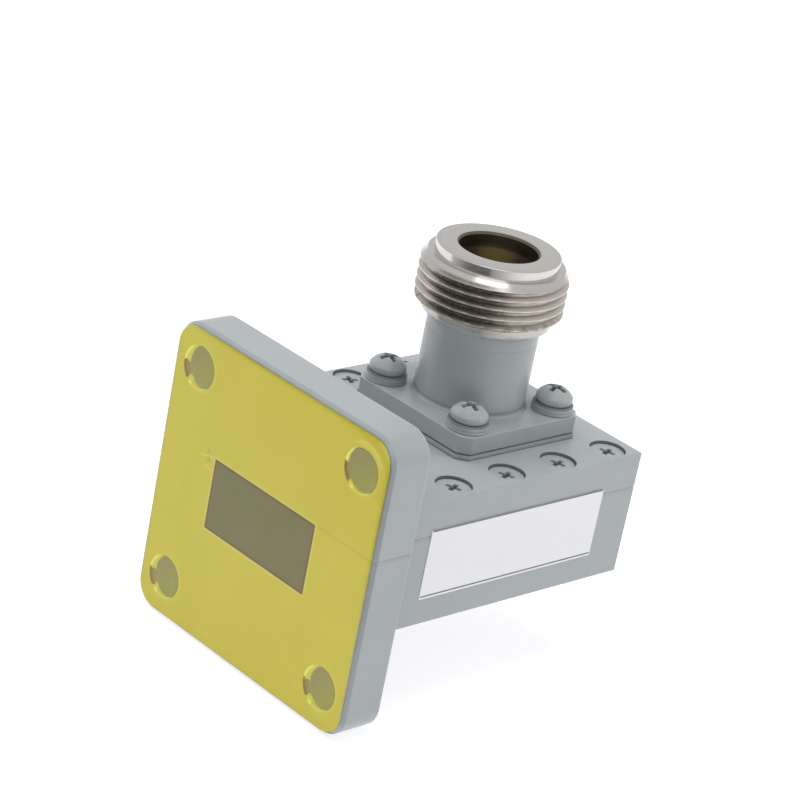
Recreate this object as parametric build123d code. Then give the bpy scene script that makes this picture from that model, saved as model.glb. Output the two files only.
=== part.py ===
from build123d import *
import os

# Right-angle adapter from a coaxial socket to a rectangular waveguide.
# Millimetres. The origin is the centre of the guide's mouth on the mating face.
# +Y runs into the body, +Z is the axis of the coaxial port, +X is to the right.

# The guide and its closed end.
guide_width = 15.80
guide_height = 7.90
cutter_radius = 1.50
backshort = 5.80

# The square flange that mates with the next guide.
flange_side = 33.30
flange_thickness = 5.20
flange_corner_radius = 3.00
flange_front_break = 0.50
flange_back_break = 0.25
bolt_span_x = 25.27
bolt_span_z = 24.28
bolt_hole_diameter = 3.90
bolt_hole_break = 0.45

# The body behind the flange, split at the roof of the guide.
body_width = 29.00
body_length = 40.00
body_break = 0.10
top_wall = 4.00
bottom_wall = 2.30
seam_break = 0.10

# The connector's square flange, the spacer under it and their screw pattern.
connector_from_rear = 12.85
spacer_thickness = 0.55
spacer_margin = 0.10
connector_flange_side = 17.50
connector_flange_thickness = 2.00
connector_flange_corner = 1.10
connector_flange_break = 0.15
connector_screw_span = 12.70

# The turned outside of the connector, upwards from its flange.
barrel_radius = 6.00
barrel_foot = 0.35
barrel_length = 8.75
collar_radius = 6.90
collar_bevel = 0.60
collar_length = 0.80
thread_radius = 7.94
thread_length = 5.55
thread_lead_length = 1.00
thread_lead_drop = 0.65
thread_runout = 0.45
nose_radius = 6.65
nose_length = 1.15
nose_break = 0.15

# The turned inside of the connector, downwards from its rim.
socket_radius = 4.20
socket_break = 0.25
socket_depth = 9.12
bead_radius = 3.50
bead_length = 6.00
spigot_radius = 2.05

# The centre contact, its pin and the probe in the guide.
contact_radius = 1.52
contact_length = 5.00
contact_bore_radius = 0.86
contact_bore_depth = 4.60
contact_slot_width = 0.36
contact_slot_depth = 3.80
contact_tip_break = 0.20
neck_radius = 1.05
pin_radius = 0.635
probe_depth = 4.80
probe_cap_radius = 1.50
probe_cap_length = 3.20
probe_cap_floor = 0.60
probe_cap_break = 0.20

# Pan-head screws with washers, for the connector.
connector_screw_radius = 1.00
connector_screw_length = 6.00
connector_head_radius = 2.00
connector_head_rim = 0.75
connector_head_height = 1.70
connector_crown_radius = 1.45
flat_washer_radius = 2.25
flat_washer_thickness = 0.40
spring_washer_radius = 2.20
spring_washer_thickness = 0.55
spring_washer_gap = 0.35
spring_washer_slant = 25.0
washer_bore_clearance = 0.10

# Cheese-head screws, sunk in the cover.
cover_screw_radius = 1.00
cover_screw_length = 6.00
cover_head_radius = 1.90
cover_head_height = 1.30
cover_head_sink = 0.25
cover_screw_from_side = 2.25
cover_screw_from_flange = 8.80
cover_screw_from_rear = 3.10
cover_screws_per_side = 4

# The cross recess in each kind of screw.
connector_recess_span = 2.00
connector_recess_width = 0.52
connector_recess_depth = 0.90
cover_recess_span = 1.90
cover_recess_width = 0.52
cover_recess_depth = 0.75

# Film and label.
film_thickness = 0.10
film_overhang = 0.15
label_thickness = 0.10
label_length = 25.20
label_height = 7.85
label_first_y = 9.70
label_above_seam = 0.65

# Fits, each as a gap on the radius.
fit = 0.02
screw_clearance = 0.15
head_clearance = 0.08
hole_bottom_clearance = 0.50

# Levels and places that follow from the sizes above.
roof_z = guide_height / 2
top_z = roof_z + top_wall
bottom_z = -guide_height / 2 - bottom_wall
connector_y = body_length - connector_from_rear
channel_end_y = connector_y + backshort
shell_base_z = top_z + spacer_thickness
shell_flange_top_z = shell_base_z + connector_flange_thickness
collar_base_z = shell_flange_top_z + barrel_length
thread_base_z = collar_base_z + collar_bevel + collar_length
thread_top_z = thread_base_z + thread_length
rim_z = thread_top_z + nose_length
bead_top_z = rim_z - socket_depth
bead_bottom_z = bead_top_z - bead_length
contact_tip_z = bead_top_z + contact_length
probe_tip_z = roof_z - probe_depth
pin_end_z = probe_tip_z + probe_cap_floor
connector_washer_z = shell_flange_top_z + flat_washer_thickness
connector_head_z = connector_washer_z + spring_washer_thickness
cover_head_z = top_z - cover_head_sink
cover_seat_z = cover_head_z - cover_head_height

bolt_places = [(sx * bolt_span_x / 2, sz * bolt_span_z / 2) for sz in (1, -1) for sx in (-1, 1)]
connector_half = connector_screw_span / 2
connector_screw_places = [
    (sx * connector_half, connector_y + sy * connector_half) for sy in (-1, 1) for sx in (-1, 1)
]
cover_screw_x = body_width / 2 - cover_screw_from_side
cover_screw_first_y = flange_thickness + cover_screw_from_flange
cover_screw_last_y = body_length - cover_screw_from_rear
cover_screw_pitch = (cover_screw_last_y - cover_screw_first_y) / (cover_screws_per_side - 1)
cover_screw_places = [
    (sx * cover_screw_x, cover_screw_first_y + row * cover_screw_pitch)
    for sx in (-1, 1)
    for row in range(cover_screws_per_side)
]


def span_box(x0, x1, y0, y1, z0, z1):
    """A block between two corners."""
    block = Box(x1 - x0, y1 - y0, z1 - z0)
    return Pos((x0 + x1) / 2, (y0 + y1) / 2, (z0 + z1) / 2) * block


def turned(points):
    """A half profile of (radius, height) points, turned about the Z axis."""
    return revolve(make_face(Plane.XZ * Polyline(*points, close=True)), Axis.Z)


def rod(radius, z0, z1, x=0.0, y=0.0):
    """An upright cylinder between two levels."""
    return Pos(x, y, (z0 + z1) / 2) * Cylinder(radius, z1 - z0)


def cross_recess(span, width, depth):
    """The cross that a driver fits, sunk from z = 0."""
    cross = Rectangle(span, width) + Rectangle(width, span)
    return extrude(cross, amount=-depth)


def flange_plate():
    """The whole square flange, with broken edges and four bolt holes."""
    outline = Plane.XZ * RectangleRounded(flange_side, flange_side, flange_corner_radius)
    plate = extrude(outline, amount=-flange_thickness)
    front = plate.faces().sort_by(Axis.Y)[0].outer_wire().edges()
    plate = chamfer(front, flange_front_break)
    back = plate.faces().sort_by(Axis.Y)[-1].outer_wire().edges()
    plate = chamfer(back, flange_back_break)
    hole_radius = bolt_hole_diameter / 2
    mouth_radius = hole_radius + bolt_hole_break
    for x, z in bolt_places:
        hole = Cylinder(hole_radius, 3 * flange_thickness)
        mouth = Pos(0, 0, bolt_hole_break / 2) * Cone(mouth_radius, hole_radius, bolt_hole_break)
        tool = Pos(x, 0, z) * Rot(-90, 0, 0) * (hole + mouth)
        plate -= tool
    return plate


def block():
    """Flange and body in one, before they are split and hollowed."""
    half = body_width / 2
    body = span_box(-half, half, flange_thickness / 2, body_length, bottom_z, top_z)
    rear = body.faces().sort_by(Axis.Y)[-1].outer_wire().edges()
    long_edges = body.edges().filter_by(Axis.Y)
    body = chamfer(rear + long_edges, body_break)
    return flange_plate() + body


def half_block(z0, z1):
    """The part of the block between two levels, with the outer edges of the seam broken."""
    half = flange_side
    piece = block() & span_box(-half, half, -half, 2 * body_length, z0, z1)
    seam = [e for e in piece.edges() if abs(e.center().Z - roof_z) < 1e-6 and e.center().Y > 1e-3]
    return chamfer(seam, seam_break)


def channel():
    """The space inside the guide, with the closed end's corners as the cutter leaves them."""
    half_width = guide_width / 2
    space = span_box(-half_width, half_width, -1.0, channel_end_y, -guide_height / 2, roof_z)
    corners = space.edges().filter_by(Axis.Z).sort_by(Axis.Y)[-2:]
    return fillet(corners, cutter_radius)


def guide_base():
    """Lower block: floor and side walls of the guide, and the lower part of the flange."""
    piece = half_block(-flange_side, roof_z) - channel()
    hole_bottom_z = cover_seat_z - cover_screw_length - hole_bottom_clearance
    for x, y in cover_screw_places:
        piece -= rod(cover_screw_radius + fit, hole_bottom_z, roof_z, x, y)
    return piece


def connector_outline(margin):
    """The connector flange's square with cut corners, grown by a margin."""
    side = connector_flange_side + 2 * margin
    square = Rectangle(side, side)
    return chamfer(square.vertices(), connector_flange_corner)


def cover_screw_seat():
    """The hole for one cover screw: a straight counterbore for its head, and the hole below it."""
    counterbore = rod(cover_head_radius + head_clearance, cover_seat_z, top_z + 1)
    return counterbore + rod(cover_screw_radius + screw_clearance, roof_z - 1, cover_seat_z + 1)


def guide_cover():
    """Upper block: roof of the guide and the upper part of the flange."""
    piece = half_block(roof_z, flange_side)
    piece -= rod(spigot_radius + fit, roof_z - 1, top_z + 1, 0, connector_y)
    hole_bottom_z = connector_head_z - connector_screw_length - hole_bottom_clearance
    for x, y in connector_screw_places:
        piece -= rod(connector_screw_radius + fit, hole_bottom_z, top_z + 1, x, y)
    seat = cover_screw_seat()
    for x, y in cover_screw_places:
        piece -= Pos(x, y, 0) * seat
    return piece


def spacer_plate():
    """Thin plate between the cover and the connector's flange, of the same outline."""
    outline = connector_outline(spacer_margin) - Circle(spigot_radius + fit)
    hole = Circle(connector_screw_radius + screw_clearance)
    for x, y in connector_screw_places:
        outline -= Pos(x, y - connector_y) * hole
    plate = extrude(outline, amount=spacer_thickness)
    outer = plate.faces().sort_by(Axis.Z)[-1].outer_wire().edges()
    plate = chamfer(outer, connector_flange_break)
    return Pos(0, connector_y, top_z) * plate


def connector_shell():
    """Turned coaxial shell with its square flange; the thread is its crest diameter."""
    collar_z = collar_base_z + collar_bevel
    body = turned([
        (0, shell_flange_top_z),
        (barrel_radius + barrel_foot, shell_flange_top_z),
        (barrel_radius, shell_flange_top_z + barrel_foot),
        (barrel_radius, collar_base_z),
        (collar_radius, collar_z),
        (collar_radius, thread_base_z),
        (thread_radius, thread_base_z + thread_runout),
        (thread_radius, thread_top_z - thread_lead_length),
        (thread_radius - thread_lead_drop, thread_top_z),
        (nose_radius, thread_top_z),
        (nose_radius, rim_z - nose_break),
        (nose_radius - nose_break, rim_z),
        (0, rim_z),
    ])
    plate = extrude(connector_outline(0), amount=connector_flange_thickness)
    plate = Pos(0, 0, shell_base_z) * plate
    for face in (plate.faces().sort_by(Axis.Z)[-1], plate.faces().sort_by(Axis.Z)[0]):
        plate = chamfer(face.outer_wire().edges(), connector_flange_break)
    piece = plate + body
    piece -= turned([
        (0, shell_base_z - 1),
        (spigot_radius + fit, shell_base_z - 1),
        (spigot_radius + fit, bead_bottom_z),
        (bead_radius + fit, bead_bottom_z),
        (bead_radius + fit, bead_top_z),
        (socket_radius, bead_top_z),
        (socket_radius, rim_z - socket_break),
        (socket_radius + socket_break, rim_z),
        (socket_radius + socket_break, rim_z + 1),
        (0, rim_z + 1),
    ])
    for x, y in connector_screw_places:
        hole = rod(connector_screw_radius + screw_clearance, shell_base_z - 1, shell_flange_top_z + 1)
        piece -= Pos(x, y - connector_y, 0) * hole
    return Pos(0, connector_y, 0) * piece


def insulator():
    """PTFE bead in the shell with a spigot that lines the hole through the cover."""
    piece = turned([
        (pin_radius + fit, roof_z),
        (spigot_radius, roof_z),
        (spigot_radius, bead_bottom_z),
        (bead_radius, bead_bottom_z),
        (bead_radius, bead_top_z),
        (neck_radius + fit, bead_top_z),
        (neck_radius + fit, bead_bottom_z),
        (pin_radius + fit, bead_bottom_z),
    ])
    return Pos(0, connector_y, 0) * piece


def centre_contact():
    """Slotted socket contact, turned in one with its neck and pin."""
    bore_z = contact_tip_z - contact_bore_depth
    piece = turned([
        (0, pin_end_z),
        (pin_radius, pin_end_z),
        (pin_radius, bead_bottom_z),
        (neck_radius, bead_bottom_z),
        (neck_radius, bead_top_z),
        (contact_radius, bead_top_z),
        (contact_radius, contact_tip_z - contact_tip_break),
        (contact_radius - contact_tip_break, contact_tip_z),
        (contact_bore_radius, contact_tip_z),
        (contact_bore_radius, bore_z),
        (0, bore_z),
    ])
    slot_z = contact_tip_z - contact_slot_depth
    reach = 2 * contact_radius
    half_slot = contact_slot_width / 2
    slot = span_box(-reach, reach, -half_slot, half_slot, slot_z, contact_tip_z + 1)
    piece -= slot
    piece -= Rot(0, 0, 90) * slot
    return Pos(0, connector_y, 0) * piece


def probe_cap():
    """Turned cap on the pin's end, the part of the probe that stands in the guide."""
    cap_top_z = probe_tip_z + probe_cap_length
    rim = probe_cap_radius - probe_cap_break
    piece = turned([
        (0, probe_tip_z),
        (rim, probe_tip_z),
        (probe_cap_radius, probe_tip_z + probe_cap_break),
        (probe_cap_radius, cap_top_z),
        (pin_radius + fit, cap_top_z),
        (pin_radius + fit, pin_end_z),
        (0, pin_end_z),
    ])
    return Pos(0, connector_y, 0) * piece


def connector_screw():
    """Pan-head screw: an upright rim and a sloped crown over a plain shank."""
    screw = turned([
        (0, -connector_screw_length),
        (connector_screw_radius, -connector_screw_length),
        (connector_screw_radius, 0),
        (connector_head_radius, 0),
        (connector_head_radius, connector_head_rim),
        (connector_crown_radius, connector_head_height),
        (0, connector_head_height),
    ])
    recess = cross_recess(connector_recess_span, connector_recess_width, connector_recess_depth)
    screw -= Pos(0, 0, connector_head_height) * recess
    return Pos(0, 0, connector_head_z) * screw


def flat_washer():
    """Plain ring on the connector's flange."""
    hole = connector_screw_radius + washer_bore_clearance
    ring = Circle(flat_washer_radius) - Circle(hole)
    return Pos(0, 0, shell_flange_top_z) * extrude(ring, amount=flat_washer_thickness)


def spring_washer():
    """Split ring, pressed flat under the screw's head."""
    hole = connector_screw_radius + washer_bore_clearance
    ring = extrude(Circle(spring_washer_radius) - Circle(hole), amount=spring_washer_thickness)
    middle = (spring_washer_radius + hole) / 2
    gap = Box(spring_washer_radius, spring_washer_gap, 4 * spring_washer_thickness)
    gap = Pos(middle, 0, spring_washer_thickness / 2) * Rot(spring_washer_slant, 0, 0) * gap
    return Pos(0, 0, connector_washer_z) * (ring - gap)


def cover_screw():
    """Cheese-head screw, its flat top a little below the cover's face."""
    screw = rod(cover_screw_radius, cover_seat_z - cover_screw_length, cover_seat_z)
    screw += rod(cover_head_radius, cover_seat_z, cover_head_z)
    recess = cross_recess(cover_recess_span, cover_recess_width, cover_recess_depth)
    return screw - Pos(0, 0, cover_head_z) * recess


def protective_film():
    """Thin film over the whole flat of the mating face, its holes and its mouth."""
    side = flange_side - 2 * (flange_front_break - film_overhang)
    radius = flange_corner_radius - flange_front_break + film_overhang
    outline = Plane.XZ * RectangleRounded(side, side, radius)
    return extrude(outline, amount=film_thickness)


def label():
    """Thin sticker on the right side of the base, its top edge lapped over the seam."""
    side = body_width / 2
    top = roof_z + label_above_seam
    last_y = label_first_y + label_length
    return span_box(side, side + label_thickness, label_first_y, last_y, top - label_height, top)


def write(name, piece):
    """One STEP file for one piece."""
    piece.label = name
    export_step(piece, f"parts/{name}.step")


os.makedirs("parts", exist_ok=True)

write("guide_base", guide_base())
write("guide_cover", guide_cover())
write("spacer_plate", spacer_plate())
write("connector_shell", connector_shell())
write("insulator", insulator())
write("centre_contact", centre_contact())
write("probe_cap", probe_cap())
write("protective_film", protective_film())
write("label", label())

connector_stack = {
    "connector_screw": connector_screw(),
    "spring_washer": spring_washer(),
    "flat_washer": flat_washer(),
}
for number, (x, y) in enumerate(connector_screw_places, start=1):
    for kind, piece in connector_stack.items():
        write(f"{kind}_{number}", Pos(x, y, 0) * piece)

one_cover_screw = cover_screw()
for number, (x, y) in enumerate(cover_screw_places, start=1):
    write(f"cover_screw_{number}", Pos(x, y, 0) * one_cover_screw)
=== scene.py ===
"""Right-angle adapter from a coaxial socket to a rectangular waveguide, dressed for a studio picture.

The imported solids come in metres. -Y is out of the mating face, +Z is the coaxial port's axis, and +X is
to the right. The part's sizes are in millimetres until a mesh is made of them, and the studio's, at the
end, are in metres. The socket's shell is a closed profile carried round its axis, with the thread as a
change of its radius: the radius at an angle and a height is the root's, plus the depth times a trapezoid
wave of height over pitch less turns. The screws and washers are profiles carried round too, the screws
with a cross sunk into the top as a height. The film is a rounded square grid with its wrinkles and
blisters as heights.
"""

import math
import bpy
import bmesh
import numpy as np
from mathutils import Matrix


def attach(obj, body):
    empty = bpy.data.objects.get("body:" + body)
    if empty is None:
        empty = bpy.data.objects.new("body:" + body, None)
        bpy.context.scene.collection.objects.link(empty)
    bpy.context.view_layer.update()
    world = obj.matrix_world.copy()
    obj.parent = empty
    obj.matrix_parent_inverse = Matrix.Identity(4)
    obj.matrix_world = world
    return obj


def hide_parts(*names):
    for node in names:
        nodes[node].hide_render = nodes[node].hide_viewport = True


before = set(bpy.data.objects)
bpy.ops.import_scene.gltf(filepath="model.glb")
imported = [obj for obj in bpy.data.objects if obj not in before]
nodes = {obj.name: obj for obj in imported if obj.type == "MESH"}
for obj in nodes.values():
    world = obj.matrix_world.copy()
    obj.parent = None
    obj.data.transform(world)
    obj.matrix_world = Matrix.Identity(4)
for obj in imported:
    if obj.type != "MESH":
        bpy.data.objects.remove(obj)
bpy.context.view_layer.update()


# Guide base and guide cover: two blocks milled from aluminium bar and screwed together, with the guide's
# channel between them. They are sprayed grey outside, and left bare in the channel and on the mating face.

class Wire:
    """One output of a material's graph. Arithmetic on wires and numbers adds the Math nodes for it."""

    def __init__(self, graph, socket):
        self.graph = graph
        self.socket = socket

    def math(self, operation, *values):
        named = dict(enumerate(values))
        return self.graph.node("ShaderNodeMath", {"operation": operation}, named)

    def __add__(self, other):
        return self.math("ADD", self, other)

    def __sub__(self, other):
        return self.math("SUBTRACT", self, other)

    def __mul__(self, other):
        return self.math("MULTIPLY", self, other)

    def __truediv__(self, other):
        return self.math("DIVIDE", self, other)

    def __rsub__(self, other):
        return self.math("SUBTRACT", other, self)

    def __abs__(self):
        return self.math("ABSOLUTE", self)

    __radd__ = __add__
    __rmul__ = __mul__

    def rises(self, low, high):
        """0 below low, 1 above high, and a smooth step between them."""
        settings = {"interpolation_type": "SMOOTHSTEP"}
        return self.graph.node("ShaderNodeMapRange", settings, {0: self, 1: low, 2: high, 3: 0.0, 4: 1.0})

    def falls(self, low, high):
        """1 below low, 0 above high, and a smooth step between them."""
        return 1 - self.rises(low, high)

    def root(self):
        return self.math("SQRT", self)

    def at_most(self, other):
        return self.math("MINIMUM", self, other)

    def at_least(self, other):
        return self.math("MAXIMUM", self, other)

    def inside(self, low, high, soft):
        """1 between low and high, fading out over a width of soft beyond them."""
        return self.rises(low - soft, low) * self.falls(high, high + soft)


class Finish:
    """A material and its graph. Positions are read in millimetres from Object coordinates."""

    def __init__(self, name):
        self.material = bpy.data.materials.new(name)
        self.material.use_nodes = True
        self.tree = self.material.node_tree
        self.tree.nodes.clear()
        self.place = self.node("ShaderNodeTexCoord", {}, {}, "Object")
        self.x = self.node("ShaderNodeSeparateXYZ", {}, {0: self.place}, 0) * 1000
        self.y = self.node("ShaderNodeSeparateXYZ", {}, {0: self.place}, 1) * 1000
        self.z = self.node("ShaderNodeSeparateXYZ", {}, {0: self.place}, 2) * 1000

    def node(self, kind, settings, values, output=0):
        """Adds a node: its settings first, then the numbers or wires of its sockets. Gives the wire of
        one output, or nothing for a node that has none."""
        made = self.tree.nodes.new(kind)
        for name, value in settings.items():
            setattr(made, name, value)
        for name, value in values.items():
            if isinstance(value, Wire):
                self.tree.links.new(value.socket, made.inputs[name])
            else:
                made.inputs[name].default_value = value
        return None if output is None else Wire(self, made.outputs[output])

    def noise(self, size, detail=3.0, rough=0.5, stretch=None):
        """Cloudy noise from 0 to 1, whose blotches are about size millimetres across."""
        place = self.place
        if stretch:
            place = self.node("ShaderNodeVectorMath", {"operation": "MULTIPLY"}, {0: place, 1: stretch})
        values = {"Vector": place, "Scale": 1000 / size, "Detail": detail, "Roughness": rough}
        return self.node("ShaderNodeTexNoise", {}, values, "Fac")

    def mix(self, factor, low, high):
        """The colour low where factor is 0 and high where it is 1."""
        return self.node("ShaderNodeMix", {"data_type": "RGBA"}, {0: factor, 6: low, 7: high}, 2)

    def between(self, factor, low, high):
        """The number low where factor is 0 and high where it is 1."""
        return factor * (high - low) + low

    def surface(self, colour, roughness, metallic, relief, depth, **fixed):
        """The shader itself, with relief from 0 to 1 standing depth millimetres proud."""
        bump = self.node("ShaderNodeBump", {}, {"Strength": 1.0, "Distance": depth / 1000, "Height": relief})
        values = {"Base Color": colour, "Roughness": roughness, "Metallic": metallic, "Normal": bump}
        values.update({name.replace("_", " "): value for name, value in fixed.items()})
        shader = self.node("ShaderNodeBsdfPrincipled", {}, values)
        self.node("ShaderNodeOutputMaterial", {}, {0: shader}, None)
        return self.material


def distance(a, b):
    """How far off two offsets at right angles reach: the root of the sum of their squares."""
    return (a * a + b * b).root()


def dress(name, material):
    """Gives a carried-over solid its material."""
    nodes[name].data.materials.clear()
    nodes[name].data.materials.append(material)


seam_z, cover_top = 3.95, 7.95
cover_screw_x, cover_first_y, cover_last_y = 12.25, 14.00, 36.90
paint_light = (0.418, 0.451, 0.460, 1)
paint_dark = (0.367, 0.400, 0.406, 1)
bare_aluminium = (0.70, 0.70, 0.69, 1)
wear_and_highlight_grey = (0.56, 0.57, 0.57, 1)


def sprayed(finish):
    """Colour, roughness and relief of satin sprayed paint: drifts of tone, orange peel and fine grain."""
    drift = finish.noise(9, 4, 0.6)
    peel = finish.noise(0.75, 2, 0.4)
    grain = finish.noise(0.16, 2, 0.5)
    colour = finish.mix((drift - 0.5) * 1.4 + (grain - 0.5) * 0.35 + 0.5, paint_dark, paint_light)
    roughness = finish.between(drift, 0.26, 0.38)
    return colour, roughness, peel * 0.75 + grain * 0.25


def grey_block(name, half_width, top, bottom, length):
    """Paint on the outside, milled metal in the channel and on the face, and thin paint at the edges. Painted
    shade darkens the film's edge, the front break and the counterbores' rims; a painted highlight runs along
    the flange's back edge, and the blocks' seam has a painted highlight with painted shade just below it."""
    finish = Finish(name)
    colour, roughness, relief = sprayed(finish)
    inside = abs(finish.x).falls(7.92, 7.96) * abs(finish.z).falls(3.97, 4.01)
    inside = inside * finish.y.falls(33.05, 33.25)
    face = finish.y.falls(0.01, 0.03)
    bare = inside.at_least(face)
    side = abs(abs(finish.x) - half_width).falls(0.10, 0.34)
    level = abs(finish.z - top).falls(0.10, 0.34).at_least(abs(finish.z - bottom).falls(0.10, 0.34))
    rear = abs(finish.y - length).falls(0.10, 0.34)
    edge = (side * level).at_least(side * rear).at_least(level * rear)
    worn = edge * finish.noise(1.3, 4, 0.7).rises(0.60, 0.68)
    colour = finish.mix(worn, colour, wear_and_highlight_grey)
    half_pitch = (cover_last_y - cover_first_y) / 6
    along = finish.y.math("WRAP", finish.y - cover_first_y, half_pitch, -half_pitch)
    bore = distance(abs(finish.x) - cover_screw_x, along)
    # Painted shade: a dark ring down the counterbores' walls round the cover screws' heads.
    counterbore_shade = bore.inside(1.88, 2.00, 0.03) * finish.z.inside(7.0, 7.90, 0.03)
    colour = finish.mix(counterbore_shade * 0.60, colour, (0.055, 0.058, 0.062, 1))
    edge_mottle = finish.noise(1.6, 4, 0.7).rises(0.25, 0.7)
    # Painted shade on the front break's chamfer beside the film.
    break_shade = finish.y.inside(0.02, 0.46, 0.08) * abs(finish.x).rises(16.10, 16.30)
    colour = finish.mix(break_shade * 0.20, colour, (0.190, 0.190, 0.205, 1))
    # Painted shade along the film's edge on the mating face, patchy and darker towards the top, and along the
    # flange's bottom edge where it stands on the floor.
    face_edge_shade = finish.y.inside(0.02, 0.10, 0.13) * (edge_mottle * 0.30 + finish.z.rises(6.0, 14.0) * 0.34)
    face_edge_shade = face_edge_shade.at_least(finish.z.falls(-16.1, -15.8) * finish.y.inside(0.02, 0.46, 0.10) * 0.6)
    colour = finish.mix(face_edge_shade, colour, (0.120, 0.112, 0.085, 1))
    # Painted highlight along the flange's back edge.
    off_body = abs(finish.x).rises(14.55, 14.65).at_least(finish.z.rises(8.0, 8.1))
    back_edge_highlight = finish.y.inside(4.90, 5.22, 0.08) * off_body * (edge_mottle * 0.25 + 0.55)
    colour = finish.mix(back_edge_highlight, colour, wear_and_highlight_grey)
    outer_side = abs(finish.x).rises(14.2, 14.3)
    # Painted highlight along the blocks' seam on the outer sides, where the paint bridges it, and painted
    # shade just below it.
    seam_highlight = finish.z.inside(seam_z - 0.11, seam_z + 0.11, 0.03) * outer_side
    colour = finish.mix(seam_highlight * 0.45, colour, wear_and_highlight_grey)
    below_seam_shade = finish.z.inside(seam_z - 0.33, seam_z - 0.15, 0.10) * outer_side
    colour = finish.mix(below_seam_shade * 0.13, colour, (0.10, 0.10, 0.13, 1))
    milled = finish.noise(0.9, 3, 0.6, (0.12, 1.0, 0.12))
    metal = finish.mix(milled, (0.52, 0.52, 0.51, 1), bare_aluminium)
    colour = finish.mix(bare, colour, metal)
    roughness = roughness * (1 - bare) + finish.between(milled, 0.26, 0.44) * bare
    return finish.surface(colour, roughness, bare, relief * (1 - bare) + milled * bare * 0.6, 0.012)


block_paint = grey_block("grey_block_paint", 14.5, cover_top, -6.25, 40.0)
dress("guide_base", block_paint)
dress("guide_cover", block_paint)


# Cover screws: eight steel cheese-head screws with a cross, sunk in counterbores before the blocks were
# sprayed, so the same grey lies on their heads, and their crosses are painted dark as shade.

def smooth(value):
    """A smooth step from 0 to 1 over that range of value: thrice its square less twice its cube."""
    value = np.clip(value, 0, 1)
    return value * value * (3 - 2 * value)


def carried_round(radii, heights, angles):
    """Points of a profile carried round the Z axis: radius times cosine and sine, and the height.
    Radii and heights are one column per angle or one for all, and one row per point of the profile."""
    radii, heights = np.broadcast_arrays(radii, heights, np.zeros((1, len(angles))))[:2]
    return np.stack([radii * np.cos(angles), radii * np.sin(angles), heights], axis=-1)


def grid_faces(rows, columns, rows_close, columns_close=True):
    """Quads of a grid whose rows and columns close on themselves where rows_close and columns_close say."""
    row = np.arange(rows if rows_close else rows - 1)[:, None]
    column = np.arange(columns if columns_close else columns - 1)[None, :]
    next_row, next_column = (row + 1) % rows, (column + 1) % columns
    corners = [(row, column), (row, next_column), (next_row, next_column), (next_row, column)]
    return np.stack([(r * columns + c).ravel() for r, c in corners], axis=1)


def new_piece(name, points, faces, material, sharp, levels=None):
    """A mesh of points in millimetres, smooth but for edges sharper than an angle in degrees."""
    mesh = bpy.data.meshes.new(name)
    mesh.from_pydata((points.reshape(-1, 3) / 1000).tolist(), [], [list(f) for f in faces])
    if levels is not None:
        mesh.attributes.new("sunk", "FLOAT", "POINT").data.foreach_set("value", levels.ravel().astype("f"))
    mesh.shade_smooth()
    mesh.set_sharp_from_angle(angle=math.radians(sharp))
    mesh.materials.append(material)
    piece = bpy.data.objects.new(name, mesh)
    bpy.context.scene.collection.objects.link(piece)
    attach(piece, "root")
    return piece


def screw_mesh(top_height, side_profile, head_radius, cross, turn):
    """A screw as rings from the middle of its head, out over the top and down its side to the tip.
    The top is top_height of the radius, less a cross of a span, width and depth: the larger of two
    bars, each a smooth step across its width and length and shallower outwards, and a round well in
    their middle. Gives points, faces and how deep in the cross each point is."""
    span, width, depth = cross
    angles = np.linspace(0, 2 * np.pi, 144, endpoint=False)
    radii = np.concatenate([np.linspace(0.03, 0.62, 46, endpoint=False), np.linspace(0.62, 1, 18)])
    radii = (radii * head_radius)[:, None]
    along, across = radii * np.cos(angles - turn), radii * np.sin(angles - turn)

    def bar(a, b):
        return smooth((span / 2 - abs(a)) / 0.12) * smooth((width / 2 - abs(b)) / 0.12)

    wings = np.maximum(bar(along, across), bar(across, along))
    well = smooth((0.62 * width + 0.12 - radii) / 0.24)
    sunk = np.maximum(wings, well)
    top = carried_round(radii, top_height(radii) - sunk * depth * (1 - 0.5 * radii / span), angles)
    side_radii, side_heights = np.array(side_profile, float).T
    side = carried_round(side_radii[:, None], side_heights[:, None], angles)
    points = np.concatenate([top, side]).reshape(-1, 3)
    rings = len(points) // len(angles)
    faces = grid_faces(rings, len(angles), False)[:, ::-1].tolist()
    first, last = np.arange(len(angles)), np.arange(len(angles)) + (rings - 1) * len(angles)
    faces += [first.tolist(), last[::-1].tolist()]
    levels = np.zeros(len(points))
    levels[: sunk.size] = sunk.ravel()
    return points, faces, levels


def screw_paint(name):
    """The blocks' paint, a little darker and uneven on the heads, with painted shade down in the cross."""
    finish = Finish(name)
    colour, roughness, relief = sprayed(finish)
    sunk = finish.node("ShaderNodeAttribute", {"attribute_name": "sunk"}, {}, "Fac")
    colour = finish.mix(finish.noise(1.1, 3, 0.6).rises(0.5, 0.75) * 0.35, colour, (0.30, 0.325, 0.33, 1))
    # Painted shade: the deeper in the cross, the darker.
    colour = finish.mix(sunk.rises(0.05, 0.85) * 0.80, colour, (0.070, 0.075, 0.078, 1))
    return finish.surface(colour, roughness, 0.0, relief, 0.010)


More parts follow.
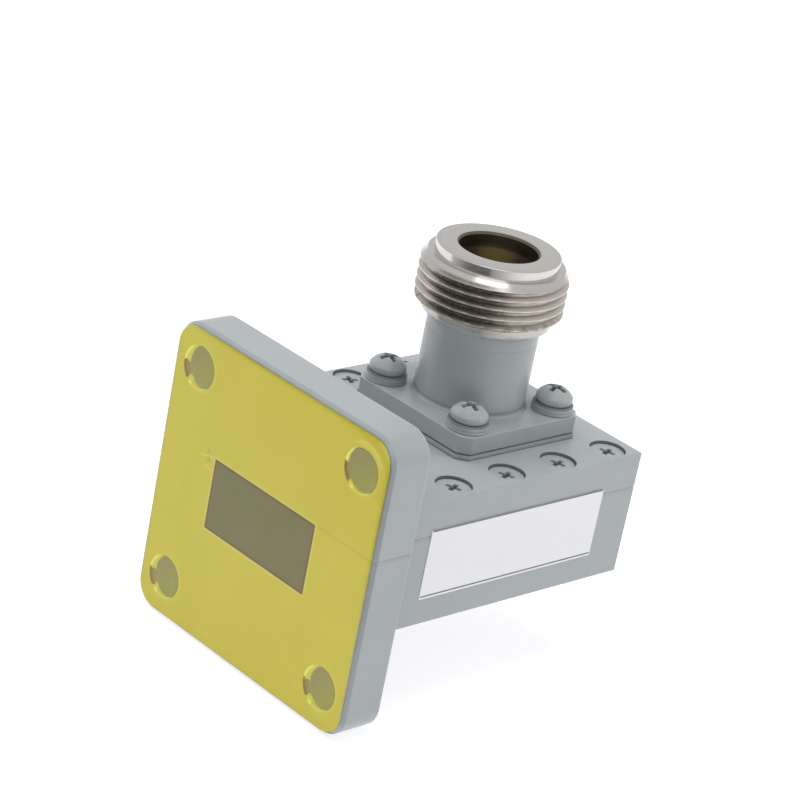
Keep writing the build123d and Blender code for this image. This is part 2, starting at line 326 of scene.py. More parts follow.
fastener_paint = screw_paint("grey_screw_paint")
cover_head_z = 7.62
cover_rows = np.linspace(cover_first_y, cover_last_y, 4)
cover_places = [(x, y) for x in (-cover_screw_x, cover_screw_x) for y in cover_rows]
cover_turns = [0.35, 1.10, 0.62, 0.15, 0.38, 0.44, 0.28, 0.33]
cover_profile = [
    (1.885, -0.02), (1.90, -0.05), (1.90, -1.28), (1.88, -1.30), (1.0, -1.30), (1.0, -7.1), (0.75, -7.3),
]
for number, ((x, y), turn) in enumerate(zip(cover_places, cover_turns), start=1):
    points, faces, sunk = screw_mesh(np.zeros_like, cover_profile, 1.86, (1.80, 0.58, 0.60), turn)
    name = f"cover_screw_{number}_head"
    piece = new_piece(name, points + [x, y, cover_head_z], faces, fastener_paint, 40, sunk)
    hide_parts(f"cover_screw_{number}")


# Insulator, centre contact and probe cap: a turned white bead holds the gold-plated socket contact in the
# middle of the shell, and its pin runs down into the guide, where a turned brass cap ends it.

bead = Finish("waxy_white_bead")
cloud = bead.noise(1.6, 3)
dress("insulator", bead.surface(
    bead.mix(cloud, (0.80, 0.80, 0.77, 1), (0.90, 0.90, 0.88, 1)),
    bead.between(cloud, 0.38, 0.52), 0.0, cloud, 0.004, Subsurface_Weight=0.1,
))


port_y = 27.15


def ring_marks(finish, reach, scale):
    """A lathe's marks: noise of the height and of the reach from the port's axis, so drawn out round it."""
    rings = finish.node("ShaderNodeCombineXYZ", {}, {0: reach * 0.001, 1: 0.0, 2: finish.z * 0.001})
    return finish.node("ShaderNodeTexNoise", {}, {"Vector": rings, "Scale": scale, "Detail": 2.0}, "Fac")


def turned_metal(name, dark, light, rough):
    """Turned metal, whose colour and roughness follow the lathe's marks."""
    finish = Finish(name)
    marks = ring_marks(finish, distance(finish.y - port_y, finish.x), 9000.0)
    tone = finish.noise(2.2, 3)
    colour = finish.mix(tone * 0.6 + marks * 0.4, dark, light)
    return finish.surface(colour, finish.between(marks, rough, rough + 0.14), 1.0, marks, 0.003)


dress("centre_contact", turned_metal("gold_plate", (0.72, 0.48, 0.16, 1), (0.92, 0.69, 0.30, 1), 0.14))
dress("probe_cap", turned_metal("bare_brass", (0.58, 0.41, 0.15, 1), (0.78, 0.60, 0.28, 1), 0.24))


# Spacer plate: a thin aluminium plate of the flange's outline that lifts the port off the cover. It was
# sprayed in place, and its two joint lines are painted dark as shade.

spacer_top, joint_shade = 8.50, (0.10, 0.105, 0.108, 1)
spacer = Finish("grey_spacer_paint")
colour, roughness, relief = sprayed(spacer)
# Painted shade along the two joint lines, at the plate's top and at its foot on the cover.
shaded_joint = abs(spacer.z - spacer_top).falls(0.04, 0.20).at_least(abs(spacer.z - cover_top).falls(0.04, 0.24))
colour = spacer.mix(shaded_joint * 0.66, colour, joint_shade)
dress("spacer_plate", spacer.surface(colour, roughness, 0.0, relief, 0.012))


# Connector shell: turned from brass bar with its square flange and nickel plated, then sprayed with the
# blocks up to the collar, so the threaded end stays bright. Its thread's roots are painted brown-dark as
# shade, darkest on the left front as a painted dark reflection, with dirt on the lowest turns.

flange_top, collar_z, thread_z, thread_top, rim_z = 10.50, 19.25, 20.65, 26.20, 27.35
crest_radius, pitch, thread_depth, thread_phase = 7.94, 25.4 / 24, 0.62, 0.33
thread_start, turns_at_start = math.radians(133), 23.869


def rounded(corners, steps=5):
    """A profile whose corners are cut to curves. Each row is radius, height and how far the curve
    reaches along both sides. The curve is quadratic: the squares and the product of the way along it
    weigh its two ends and the corner."""
    table = np.array(corners, float)
    point, reach = table[:, :2], table[:, 2:]

    def unit(v):
        return v / np.linalg.norm(v, axis=1, keepdims=True)

    start = point + unit(np.roll(point, 1, axis=0) - point) * reach
    end = point + unit(np.roll(point, -1, axis=0) - point) * reach
    t = np.linspace(0, 1, steps)[None, :, None]
    curve = (1 - t) ** 2 * start[:, None] + 2 * t * (1 - t) * point[:, None] + t**2 * end[:, None]
    return curve.reshape(-1, 2)


def thread_radius(angles, heights):
    """Root radius plus depth times a wave of the height over the pitch less the turns, which runs up as
    it turns to the left and so is right-handed. The wave is flat for an eighth of the pitch at the crest
    and a quarter at the root, and stays at the crest past the thread's start, counted in turns from the
    rear. The run-out below and the lead above cap it."""
    turns_up = (heights + thread_phase) / pitch
    turn = turns_up - angles / (2 * np.pi)
    across = abs(2 * (turn - np.floor(turn)) - 1)
    wave = np.clip((0.75 - across) / 0.625, 0, 1)
    from_rear = turns_up - ((angles - thread_start) / (2 * np.pi)) % 1.0
    wave = np.where(from_rear > turns_at_start, 1.0, wave)
    radius = crest_radius - thread_depth + thread_depth * wave
    run_out = 6.9 + (heights - thread_z) * 2.3
    lead = crest_radius - 0.65 * (heights - thread_top + 1.0)
    return np.minimum(radius, np.minimum(run_out, lead))


sides = 288
angles = np.linspace(0, 2 * np.pi, sides, endpoint=False)[None, :]
lower_outside = rounded([
    (2.07, flange_top - 0.05, 0.005), (6.35, flange_top - 0.05, 0.005), (6.35, flange_top + 0.01, 0.005),
    (6.00, flange_top + 0.36, 0.20), (6.00, 17.87, 0.01), (5.96, 17.95, 0.03), (6.00, 18.03, 0.01),
    (6.00, collar_z, 0.08), (6.90, collar_z + 0.60, 0.12), (6.90, thread_z, 0.02),
])
upper_outside_and_bore = rounded([
    (7.29, thread_top, 0.02), (6.65, thread_top, 0.05), (6.65, rim_z, 0.16), (4.45, rim_z, 0.03),
    (4.20, rim_z - 0.25, 0.03), (4.20, 18.23, 0.02), (3.52, 18.23, 0.02), (3.52, 12.23, 0.02),
    (2.07, 12.23, 0.02), (2.07, flange_top - 0.04, 0.002),
])
thread_heights = np.linspace(thread_z + 0.03, thread_top - 0.02, 132)[:, None]
threaded = carried_round(thread_radius(angles, thread_heights), thread_heights, angles[0])
profile_low = carried_round(lower_outside[:, :1], lower_outside[:, 1:], angles[0])
profile_high = carried_round(upper_outside_and_bore[:, :1], upper_outside_and_bore[:, 1:], angles[0])
turned_part = np.concatenate([profile_low, threaded, profile_high])
turned_part[..., 1] += port_y
shell_faces = grid_faces(len(turned_part), sides, True)


# Across and along, from the port's axis: the way of the thread's painted dark reflection, and of the
# socket wall's painted gold reflection.
dark_reflection_way, gold_reflection_way = (0.358, -0.934), (-0.682, 0.731)


def plated_and_painted(name):
    """Paint below the collar's ragged line and nickel above it. The thread's roots are painted brown-dark as
    shade, with a painted dark reflection on the left front and dirt on the lowest turns; the socket is
    painted dark as shade, with a painted gold reflection on its far wall. Painted shade marks the spacer's
    joint and the barrel's foot, and a painted highlight runs along the square flange's upper edge."""
    finish = Finish(name)
    colour, roughness, relief = sprayed(finish)
    reach = distance(finish.y - port_y, finish.x)
    line = finish.z + (finish.noise(2.4, 4, 0.6) - 0.5) * 1.3
    plated = line.rises(19.65, 20.20)
    plated = plated.at_least(reach.falls(4.5, 4.6)) * (finish.z.falls(20.50, 20.75) * -0.32 + 1)
    marks = ring_marks(finish, reach, 7000.0)
    nickel = finish.mix(marks, (0.585, 0.562, 0.536, 1), (0.700, 0.680, 0.658, 1))
    nickel = finish.mix(finish.z.falls(25.10, 25.60) * 0.45, nickel, (0.600, 0.550, 0.470, 1))
    threaded_zone = finish.z.rises(20.75, 20.95) * finish.z.falls(25.55, 25.85)
    # Painted shade in the thread's roots and a painted dark reflection on its left front; the noise on the
    # lowest turns is dirt.
    left_front = (finish.x * dark_reflection_way[0] + (finish.y - port_y) * dark_reflection_way[1]) / reach
    dirt_and_shade = reach.falls(7.34, 7.80) * threaded_zone * (left_front.rises(0.70, 0.96) * 0.68 + 0.30)
    dark_reflection_patch = reach.falls(7.60, 8.10) * threaded_zone * left_front.rises(0.84, 0.98)
    dirt_and_shade = dirt_and_shade.at_least(dark_reflection_patch * 0.85)
    low = finish.z.falls(21.05, 22.45) * finish.z.rises(20.60, 20.70)
    dirt_and_shade = dirt_and_shade.at_least(low * finish.noise(1.1, 4, 0.7).rises(0.35, 0.7) * 0.7)
    speckle = finish.noise(0.35, 4, 0.7)
    dirt_and_shade = (dirt_and_shade * (speckle * 1.2 + 0.40)).at_most(1.0)
    nickel = finish.mix(dirt_and_shade, nickel, (0.092, 0.072, 0.050, 1))
    # Painted shade down the socket, and a painted gold reflection of the contact on its far wall.
    in_socket = reach.falls(4.40, 4.47)
    far_side = (finish.x * gold_reflection_way[0] + (finish.y - port_y) * gold_reflection_way[1]) / reach
    gold_reflection = far_side.rises(0.78, 1.0) * finish.z.falls(25.2, 26.9)
    socket_shade_and_reflection = finish.mix(gold_reflection, (0.170, 0.140, 0.105, 1), (0.420, 0.320, 0.150, 1))
    nickel = finish.mix(in_socket, nickel, socket_shade_and_reflection)
    colour = finish.mix(plated, colour, nickel)
    # Painted shade at the spacer's joint and round the barrel's foot.
    shaded_joint = abs(finish.z - spacer_top).falls(0.04, 0.22) * reach.rises(8.0, 8.2)
    foot_shade = finish.z.inside(10.84, 10.98, 0.22) * reach.inside(5.9, 6.12, 0.04)
    colour = finish.mix((shaded_joint * 0.66).at_least(foot_shade * 0.38), colour, joint_shade)
    # Painted highlight along the square flange's upper edge.
    flange_edge_highlight = abs(finish.x).at_least(abs(finish.y - port_y)).rises(8.62, 8.70)
    flange_edge_highlight = flange_edge_highlight.at_least((abs(finish.x) + abs(finish.y - port_y)).rises(16.24, 16.34))
    colour = finish.mix(flange_edge_highlight * finish.z.rises(10.38, 10.46) * 0.45, colour, wear_and_highlight_grey)
    shiny = finish.between(marks, 0.14, 0.22) + threaded_zone * 0.12 + dirt_and_shade * 0.20 + in_socket * 0.16
    roughness = roughness * (1 - plated) + shiny * plated
    relief = relief * (1 - plated) + marks * plated * 0.25
    return finish.surface(colour, roughness, plated * (1 - dirt_and_shade * 0.35), relief, 0.010)


shell_finish = plated_and_painted("nickel_and_paint")
shell = new_piece("connector_shell_turned", turned_part, shell_faces.tolist(), shell_finish, 32)

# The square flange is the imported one, cut level with its top face and joined to the turned part above.
plate_mesh = nodes["connector_shell"].data.copy()
plate = bmesh.new()
plate.from_mesh(plate_mesh)
bmesh.ops.remove_doubles(plate, verts=plate.verts, dist=1e-6)
everything = plate.verts[:] + plate.edges[:] + plate.faces[:]
bmesh.ops.bisect_plane(
    plate, geom=everything, dist=1e-7, plane_co=(0, 0, (flange_top + 0.002) / 1000), plane_no=(0, 0, 1),
    clear_outer=True,
)
rim_edges = [e for e in plate.edges if e.is_boundary]
bmesh.ops.triangle_fill(plate, edges=rim_edges, use_beauty=True)
bmesh.ops.recalc_face_normals(plate, faces=plate.faces)
plate.to_mesh(plate_mesh)
plate.free()
plate_mesh.shade_flat()
plate_mesh.materials.clear()
plate_mesh.materials.append(shell_finish)
flange = bpy.data.objects.new("connector_flange", plate_mesh)
bpy.context.scene.collection.objects.link(flange)
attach(flange, "root")
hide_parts("connector_shell")
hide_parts("connector_shell")


# Washers: under each connector screw a flat steel ring with a split spring ring on it, pressed level by
# the screw and sprayed over, with the joints between them painted dark as shade. The splits lie to the rear.

half_span = 12.70 / 2
flat_top, spring_top = 10.90, 11.45
pan_places = [(sx * half_span, port_y + sy * half_span) for sy in (-1, 1) for sx in (-1, 1)]
splits = [2.06, 2.46, 2.22, 1.68]

washers = Finish("grey_washer_paint")
colour, roughness, relief = sprayed(washers)
# Painted shade under the head, between the rings and at their foot on the flange.
shaded_joint = washers.z.rises(spring_top - 0.27, spring_top - 0.09)
shaded_joint = shaded_joint.at_least(abs(washers.z - flat_top).falls(0.02, 0.10) * 0.3)
shaded_joint = shaded_joint.at_least(washers.z.falls(flange_top + 0.02, flange_top + 0.16) * 0.7)
colour = washers.mix(shaded_joint * 0.70, colour, (0.085, 0.09, 0.092, 1))
washer_finish = washers.surface(colour, roughness, 0.0, relief, 0.012)


def washer_ring(outer, low, high, soft_low, soft_high, split, opening):
    """A rounded section carried round the Z axis from one side of its opening to the other, in radians
    about the split, with both ends closed. With no opening it closes on itself."""
    section = rounded([
        (1.12, low, 0.04), (outer, low, soft_low), (outer, high, soft_high), (1.12, high, 0.04),
    ])
    angles = np.linspace(opening / 2, 2 * np.pi - opening / 2, 97) + split
    if not opening:
        angles = angles[:-1]
    points = carried_round(section[:, :1], section[:, 1:], angles)
    faces = grid_faces(len(section), len(angles), True, not opening).tolist()
    if opening:
        first = np.arange(len(section)) * len(angles)
        faces += [first.tolist(), (first + len(angles) - 1)[::-1].tolist()]
    return points, faces


for number, ((x, y), split) in enumerate(zip(pan_places, splits), start=1):
    flat = washer_ring(2.25, flange_top, flat_top, 0.05, 0.05, split, 0)
    sprung = washer_ring(2.22, flat_top, spring_top, 0.04, 0.20, split, 0.20)
    for kind, (points, faces) in (("flat", flat), ("spring", sprung)):
        name = f"{kind}_washer_{number}"
        piece = new_piece(f"{name}_ring", points + [x, y, 0], faces, washer_finish, 40)
        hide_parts(name)


# Connector screws: four steel pan heads with a cross, domed over a short upright rim, which pull the
# port's flange and the spacer down onto the cover.

head_height, head_drop, head_radius = 1.70, 0.96, 2.00


def dome(r):
    """Height of the head over its seat: the crown's, less a drop as the radius to the power 3."""
    return head_height - head_drop * (r / head_radius) ** 3


pan_profile = [
    (1.994, 0.71), (2.0, 0.60), (1.998, 0.42), (1.98, 0.28), (1.93, 0.15), (1.85, 0.05), (1.74, 0.0),
    (1.0, 0.0), (1.0, -5.8), (0.8, -6.0),
]
pan_turns = [-0.16, -0.21, 0.50, 0.20]
for number, ((x, y), turn) in enumerate(zip(pan_places, pan_turns), start=1):
    points, faces, sunk = screw_mesh(dome, pan_profile, 1.97, (2.35, 0.62, 0.85), turn)
    name = f"connector_screw_{number}_head"
    piece = new_piece(name, points + [x, y, spring_top], faces, fastener_paint, 40, sunk)
    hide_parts(f"connector_screw_{number}")


# Protective film: thin yellow see-through film, stuck by its own adhesive over the whole mating face to
# keep the guide clean until it is bolted up. It is wrinkled at one corner of the mouth and blistered
# round one hole, and it is peeled off before use.

film_half, film_corner = 16.30, 2.65
bolt_x, bolt_z = 25.27 / 2, 24.28 / 2


def marks_by_mouth(across, up):
    """Painted highlights along two short creases, and two dark specks, beside the mouth's upper left corner.
    """
    first = abs((up - 3.69) - (across + 9.26) * 0.23).falls(0.08, 0.22) * across.inside(-10.2, -8.3, 0.2)
    second = abs((up - 2.50) + (across + 8.75) * 0.19).falls(0.08, 0.22) * across.inside(-9.2, -8.3, 0.2)
    dots = None
    for x, z, wide in ((-9.01, 4.34, 0.36), (-8.93, 3.41, 0.40)):
        dot = distance(across - x, up - z).falls(wide * 0.4, wide)
        dots = dot if dots is None else dots.at_least(dot)
    return (first + second).at_most(1.0), dots


def pulled_in(u, v):
    """A square grid from -1 to 1 made a rounded square. Beyond the corner's centre a point is scaled by
    the larger of its two offsets over their length, which turns the corner's square to a quarter disc."""
    x, z = u * film_half, v * film_half
    straight = film_half - film_corner
    a, b = np.clip((abs(x) - straight) / film_corner, 0, 1), np.clip((abs(z) - straight) / film_corner, 0, 1)
    length = np.hypot(a, b)
    scale = np.where(length > 0, np.maximum(a, b) / np.maximum(length, 1e-9), 1)
    corner = (a > 0) & (b > 0)
    x = np.where(corner, np.sign(x) * (straight + a * scale * film_corner), x)
    z = np.where(corner, np.sign(z) * (straight + b * scale * film_corner), z)
    return x, z


count = 150
u, v = np.meshgrid(np.linspace(-1, 1, count), np.linspace(-1, 1, count), indexing="xy")
film_x, film_z = pulled_in(u, v)


def bump_at(x, z, wide, high, height):
    """A rounded blister: height times e to the minus square of the offset over its size."""
    return height * np.exp(-(((film_x - x) / wide) ** 2) - ((film_z - z) / high) ** 2)


blisters = bump_at(12.0, 14.6, 2.4, 0.7, 0.040) + bump_at(15.0, 11.5, 0.6, 2.0, 0.036)
blisters = blisters + bump_at(10.2, 12.0, 0.5, 1.4, 0.030) + bump_at(-9.2, 5.2, 0.9, 0.5, 0.034)
blisters = blisters + bump_at(-10.5, 4.6, 0.5, 0.8, 0.028)
ripple = 0.006 * (1 + np.sin(film_x * 1.3 + 0.8 * film_z) * np.sin(film_z * 0.9 - 0.3 * film_x))
front = np.minimum(0.045 + blisters + ripple, 0.098)
outer = np.stack([film_x, -front, film_z], axis=-1)
inner = np.stack([film_x, np.full_like(film_x, -0.004), film_z], axis=-1)
film_points = np.concatenate([outer.reshape(-1, 3), inner.reshape(-1, 3)])
row, column = np.meshgrid(np.arange(count - 1), np.arange(count - 1), indexing="ij")
low = (row * count + column).ravel()
outer_faces = np.stack([low, low + 1, low + count + 1, low + count], axis=1)
inner_faces = outer_faces[:, ::-1] + count * count
ring = np.concatenate([
    np.arange(count - 1), np.arange(count - 1) * count + count - 1,
    (count - 1) * count + np.arange(count - 1, 0, -1), np.arange(count - 1, 0, -1) * count,
])
ring_next = np.roll(ring, -1)
edge_faces = np.stack([ring_next, ring, ring + count * count, ring_next + count * count], axis=1)
film_faces = np.concatenate([outer_faces, inner_faces, edge_faces]).tolist()

film = Finish("yellow_film")
across, up = film.x, film.z
in_mouth = abs(across).falls(7.80, 7.95) * abs(up).falls(3.86, 3.99)
mouth_rim_highlight = abs(across).falls(7.98, 8.28) * abs(up).falls(4.03, 4.33) - in_mouth
mouth_edge_shade = in_mouth - abs(across).falls(7.52, 7.80) * abs(up).falls(3.58, 3.86)
cloud = film.noise(7, 4, 0.6)
fine = film.noise(0.5, 3, 0.5)
fleck = film.noise(0.45, 3, 0.6)

# The four bolt holes at once: dx and dz run from the nearest hole's centre.
dx = across - across.math("SIGN", across) * bolt_x
dz = up - up.math("SIGN", up) * bolt_z
reach = distance(dx, dz)
top_right_hole = across.rises(0.0, 1.0) * up.rises(0.0, 1.0)
sagged = distance(dx - 0.92 + top_right_hole * 0.50, dz - 0.36) + (fleck - 0.5) * 0.24
through = sagged.falls(2.24, 2.46) * reach.falls(2.30, 2.46)
bevel = reach.falls(2.36, 2.50) * (1 - through)
bearing = dz.math("ARCTAN2", dz, dx) + (fleck - 0.5) * 0.45
lit = bevel * bearing.rises(1.75, 2.45) * bearing.falls(2.98, 3.10)
lit = lit.at_least(bevel * bearing.inside(-2.12, -1.96, 0.10))
lit = lit.at_least(reach.inside(2.26, 2.36, 0.10) * bearing.inside(-1.85, -0.95, 0.20) * 0.45)
unlit = bevel * bearing.rises(3.04, 3.12).at_least(bearing.falls(-2.36, -2.26))
wrinkle = film.noise(0.55, 3, 0.6, (0.45, 1.0, 1.7)).rises(0.60, 0.74)
light_streak = film.noise(1.5, 2, 0.5, (1.4, 1.0, 0.5)).rises(0.58, 0.75)

yellow = film.mix(cloud * 0.7 + fine * 0.3, (0.620, 0.535, 0.036, 1), (0.715, 0.630, 0.058, 1))
side_x, side_z = abs(across) - film_half, abs(up) - film_half
top_right = (across * 0.5 + up).rises(3.0, 15.0)
rim = side_x.rises(-0.60, -0.30).at_least(side_z.rises(-0.60, -0.30)) * (top_right * 0.8 + 0.2)
cut = side_x.rises(-0.26, -0.04).at_least(side_z.rises(-0.26, -0.04))
yellow = film.mix(rim * 0.85, yellow, (0.600, 0.520, 0.004, 1))
cut_tone = film.mix(top_right, (0.420, 0.400, 0.300, 1), (0.260, 0.240, 0.030, 1))
yellow = film.mix(cut * 0.60, yellow, cut_tone)
# Painted highlight on the blister's ridge round the top right hole, and painted shade in the dip beyond it.
ridge_highlight = reach.inside(2.88, 3.02, 0.28) * bearing.inside(0.75, 1.85, 0.45) * top_right_hole
yellow = film.mix(ridge_highlight * (fleck * 0.6 + 0.35), yellow, (0.780, 0.720, 0.170, 1))
dip_shade = reach.inside(3.55, 3.90, 0.30) * bearing.inside(-0.30, 1.60, 0.35) * top_right_hole
yellow = film.mix(dip_shade * 0.55, yellow, (0.560, 0.480, 0.004, 1))
seam = abs(up - seam_z).falls(0.05, 0.22) * (1 - in_mouth)
yellow = film.mix(seam * across.rises(2.0, 12.0) * 0.14, yellow, (0.30, 0.26, 0.04, 1))
# Painted highlight round the mouth's edge.
yellow = film.mix(mouth_rim_highlight * 0.75, yellow, (0.700, 0.650, 0.170, 1))
specks = film.noise(0.55, 4, 0.7).rises(0.60, 0.70) * (across - 15.70).rises(0.0, 0.45)
yellow = film.mix(specks * 0.6, yellow, (0.720, 0.680, 0.560, 1))
# Painted shade over each hole: the film is coloured olive where the hole lies behind it, darker towards the
# hole's edge and in its wrinkles, with lighter streaks.
hole_shade = film.mix((dx - dz).rises(-3.0, 2.0), (0.345, 0.305, 0.112, 1), (0.375, 0.362, 0.076, 1))
hole_shade = film.mix(light_streak * 0.5, hole_shade, (0.440, 0.425, 0.130, 1))
hole_shade = film.mix((wrinkle * 0.35).at_least(reach.rises(2.12, 2.36) * 0.45), hole_shade, (0.200, 0.190, 0.045, 1))
# Painted highlight on the film's lip round each hole.
lip_highlight = reach.inside(2.50, 2.68, 0.15) * bearing.inside(-2.0, 1.6, 0.4) * 0.28
yellow = film.mix(lip_highlight, yellow, (0.720, 0.670, 0.130, 1))
yellow = film.mix(through, yellow, hole_shade)
lit_tone = film.mix(reach.rises(1.95, 2.30), (0.700, 0.640, 0.090, 1), (0.900, 0.880, 0.170, 1))
yellow = film.mix(lit, yellow, lit_tone)
shaded = film.mix(reach.rises(1.70, 2.35), (0.300, 0.215, 0.085, 1), (0.165, 0.100, 0.030, 1))
yellow = film.mix(unlit * 0.85, yellow, shaded)
# Painted shade over the mouth: the film is coloured dark brown where the channel lies behind it, darker still
# at the mouth's edge.
mouth_shade = film.mix(cloud, (0.205, 0.190, 0.066, 1), (0.235, 0.210, 0.080, 1))
mouth_shade = film.mix(film.noise(3.6, 3).rises(0.46, 0.62) * 0.5, mouth_shade, (0.250, 0.196, 0.100, 1))
mouth_shade = film.mix(mouth_edge_shade * 0.75, mouth_shade, (0.150, 0.098, 0.010, 1))
yellow = film.mix(in_mouth, yellow, mouth_shade)
crease_highlights, dots = marks_by_mouth(across, up)
# Painted highlights along the creases.
yellow = film.mix(crease_highlights * 0.7, yellow, (0.740, 0.690, 0.130, 1))
yellow = film.mix(dots * 0.5, yellow, (0.440, 0.400, 0.030, 1))
see_through = 0.97 - in_mouth * 0.06 - through * 0.04
film_finish = film.surface(
    yellow, film.between(cloud, 0.24, 0.36), 0.0, cloud * 0.5 + fine * 0.5, 0.010, Alpha=see_through,
)
film_piece = new_piece("protective_film_sheet", film_points, film_faces, film_finish, 60)
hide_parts("protective_film")


# Label: a plain white satin sticker on the right side, lapped over the seam, with a printed line along
# its top and bottom edges. What was written on it is left out.

label = Finish("white_label")
fibre = label.noise(0.35, 3, 0.6)
tone = label.noise(6, 3)
top_edge, bottom_edge, first_y, last_y = 4.60, -3.25, 9.70, 34.90
inset_y = (label.y - first_y - 0.08).rises(0.0, 0.05) * (last_y - 0.08 - label.y).rises(0.0, 0.05)
line = abs(label.z - (top_edge - 0.08)).falls(0.05, 0.12).at_least(
    abs(label.z - (bottom_edge + 0.30)).falls(0.05, 0.12))
line = line * inset_y
paper = label.mix(tone * 0.7 + fibre * 0.3, (0.86, 0.87, 0.88, 1), (0.92, 0.92, 0.93, 1))
paper = label.mix(line * 0.95, paper, (0.10, 0.10, 0.11, 1))
dress("label", label.surface(paper, label.between(tone, 0.42, 0.55), 0.0, fibre, 0.004))


# Floor, light and camera: a white sweep under soft boxes, with the lens where the photograph was taken.
# Two glowing cards on the floor, seen only in reflections, paint the reflections of what the studio held
# beyond its white paper: a dark one whose glow fades out to the right, and a grey one that glows brighter
# to the right.

floor_z, above_floor, floor_reach = -0.01665, 0.0004, 3.0


def stage_plane(name, corners, height, material, seen=True):
    """A level stage piece through corners in metres. One that isn't seen shows in reflections alone."""
    mesh = bpy.data.meshes.new(name)
    mesh.from_pydata([(x, y, height) for x, y in corners], [], [list(range(len(corners)))])
    mesh.materials.append(material)
    plane = bpy.data.objects.new(name, mesh)
    bpy.context.scene.collection.objects.link(plane)
    plane.visible_camera = plane.visible_diffuse = plane.visible_shadow = seen


def round_port(finish):
    """The bearing from the port's axis, in radians from straight ahead, positive to the right."""
    return finish.x.math("ARCTAN2", finish.x, port_y - finish.y)


# The floor glows a little, which keeps it white under soft light.
floor_paper = Finish("pale_floor")
paper_tone = floor_paper.noise(60, 3)
floor_corners = [(x * floor_reach, y * floor_reach) for x, y in ((-1, -1), (1, -1), (1, 1), (-1, 1))]
stage_plane("floor", floor_corners, floor_z, floor_paper.surface(
    floor_paper.mix(paper_tone, (0.45, 0.45, 0.455, 1), (0.47, 0.47, 0.475, 1)), 0.75, 0.0, paper_tone, 0.01,
    Emission_Color=(0.985, 0.972, 1.0, 1), Emission_Strength=0.728,
))

# A dark card, seen only in reflections, whose emission paints a grey reflection on its left part.
dark_card = Finish("dark_reflection_card")
card_grain = dark_card.noise(3, 3)
dark_card_glow = dark_card.mix(round_port(dark_card).falls(-0.75, 0.10), (0.0, 0.0, 0.0, 1), (0.50, 0.50, 0.50, 1))
dark_card_corners = [(0.040, -0.012), (-0.020, -0.040), (-0.072, -0.056), (-0.300, -0.300), (0.2246, -0.300)]
stage_plane("dark_reflection_card", dark_card_corners, floor_z + above_floor, dark_card.surface(
    dark_card.mix(card_grain, (0.020, 0.020, 0.020, 1), (0.035, 0.035, 0.035, 1)), 0.9, 0.0, card_grain, 0.2,
    Emission_Strength=1.0, Emission_Color=dark_card_glow,
), seen=False)

# A grey card, seen only in reflections, whose emission paints reflections brighter to the right.
grey_card = Finish("grey_reflection_card")
grey_card_glow = grey_card.mix(round_port(grey_card).rises(0.55, 1.70), (0.32, 0.32, 0.32, 1), (1.08, 1.08, 1.08, 1))
grey_card_corners = [(0.040, -0.012), (0.2246, -0.300), (0.45, -0.30), (0.45, 0.10), (0.05, 0.034)]
stage_plane("grey_reflection_card", grey_card_corners, floor_z + above_floor, grey_card.surface(
    (0.02, 0.02, 0.02, 1), 0.9, 0.0, grey_card.noise(3, 3), 0.2, Emission_Strength=1.0, Emission_Color=grey_card_glow,
), seen=False)

# The world is dim for diffuse light, and brighter by these shares where a reflection or the lens sees it.
world = bpy.data.worlds.new("studio")
world.use_nodes = True
add_node, link = world.node_tree.nodes.new, world.node_tree.links.new
sky = world.node_tree.nodes["Background"]
sky.inputs["Color"].default_value = (1.0, 1.0, 1.0, 1)
seen_by, dim = add_node("ShaderNodeLightPath"), add_node("ShaderNodeValue")
dim.outputs[0].default_value = 0.12
strength = dim.outputs[0]
for kind_of_ray, share in (("Is Glossy Ray", 0.58), ("Is Camera Ray", 0.85)):
    brighter = add_node("ShaderNodeMath")
    brighter.operation = "MULTIPLY_ADD"
    brighter.inputs[1].default_value = share
    link(seen_by.outputs[kind_of_ray], brighter.inputs[0])
    link(strength, brighter.inputs[2])
    strength = brighter.outputs[0]
link(strength, sky.inputs["Strength"])
bpy.context.scene.world = world


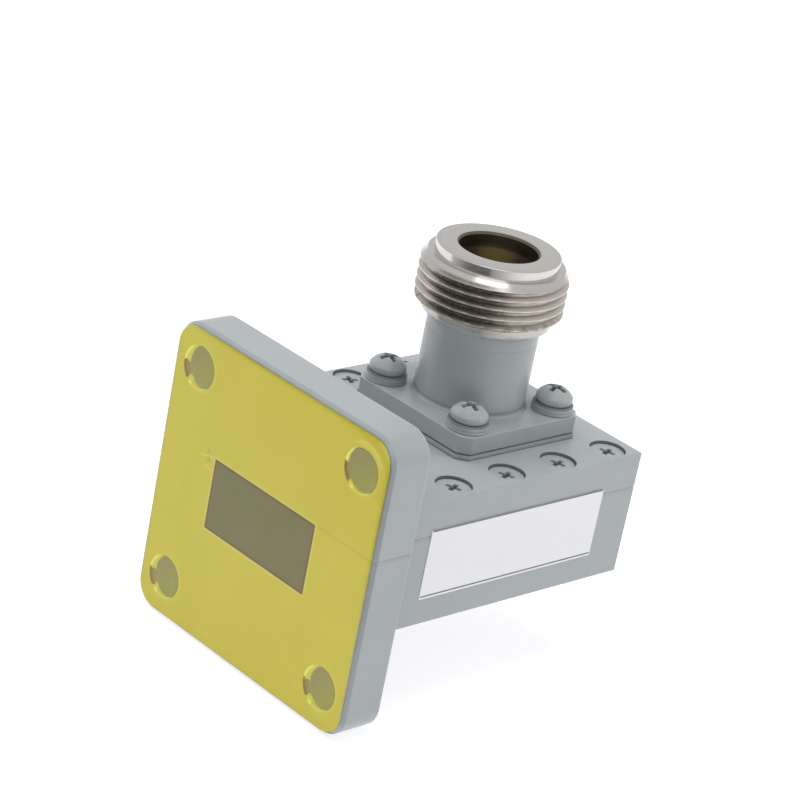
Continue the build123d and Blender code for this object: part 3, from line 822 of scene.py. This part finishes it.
def soft_box(name, place, size, power, aim=(0.0, 0.018, 0.004)):
    """An area light at a place in metres, turned to face a point."""
    light = bpy.data.lights.new(name, "AREA")
    light.shape = "RECTANGLE"
    light.size, light.size_y = size
    light.energy = power
    lamp = bpy.data.objects.new(name, light)
    bpy.context.scene.collection.objects.link(lamp)
    back = np.array(place) - np.array(aim)
    back = back / np.linalg.norm(back)
    right = np.cross([0, 0, 1], back)
    right = right / np.linalg.norm(right)
    up_way = np.cross(back, right)
    turn = np.eye(4)
    turn[:3, :3] = np.stack([right, up_way, back], axis=1)
    turn[:3, 3] = place
    lamp.matrix_world = Matrix(turn.tolist())
    return lamp


for diffuse_box in (
    soft_box("overhead_box", (0.0, 0.05, 0.60), (0.50, 0.50), 2.30),
    soft_box("left_box", (-0.45, -0.10, 0.38), (0.35, 0.35), 1.18),
    soft_box("back_panel", (-0.38, 0.44, 0.24), (0.90, 0.36), 0.45),
    soft_box("back_right_box", (0.36, 0.40, 0.38), (0.35, 0.35), 1.11),
    soft_box("front_box", (0.20, -0.50, 0.43), (0.62, 0.26), 0.74),
):
    diffuse_box.visible_glossy = False
gloss_strip = soft_box("gloss_strip", (0.372, -0.400, 0.49), (0.60, 0.34), 0.82)
gloss_strip.visible_diffuse = False

# The picture's angle: azimuth, elevation and roll in degrees, and the lens's place in its own axes, mm.
azimuth, elevation, roll = np.radians([43.0143, 22.9148, 11.3010])
in_lens_axes = np.array([14.2862, 12.7626, 290.5479])
back = np.array([
    math.sin(azimuth) * math.cos(elevation), -math.cos(azimuth) * math.cos(elevation), math.sin(elevation)
])
right = np.array([math.cos(azimuth), math.sin(azimuth), 0])
upward = np.cross(back, right)
turned_right = math.cos(roll) * right + math.sin(roll) * upward
turned_up = -math.sin(roll) * right + math.cos(roll) * upward
axes = np.stack([turned_right, turned_up, back], axis=1)
pose = np.eye(4)
pose[:3, :3] = axes
pose[:3, 3] = axes @ in_lens_axes / 1000
lens = bpy.data.cameras.new("camera")
lens.sensor_width = 36.0
lens.lens = 129.191
lens.clip_start = 0.01
camera = bpy.data.objects.new("camera", lens)
bpy.context.scene.collection.objects.link(camera)
camera.matrix_world = Matrix(pose.tolist())
bpy.context.scene.camera = camera
bpy.context.scene.view_settings.view_transform = "Standard"
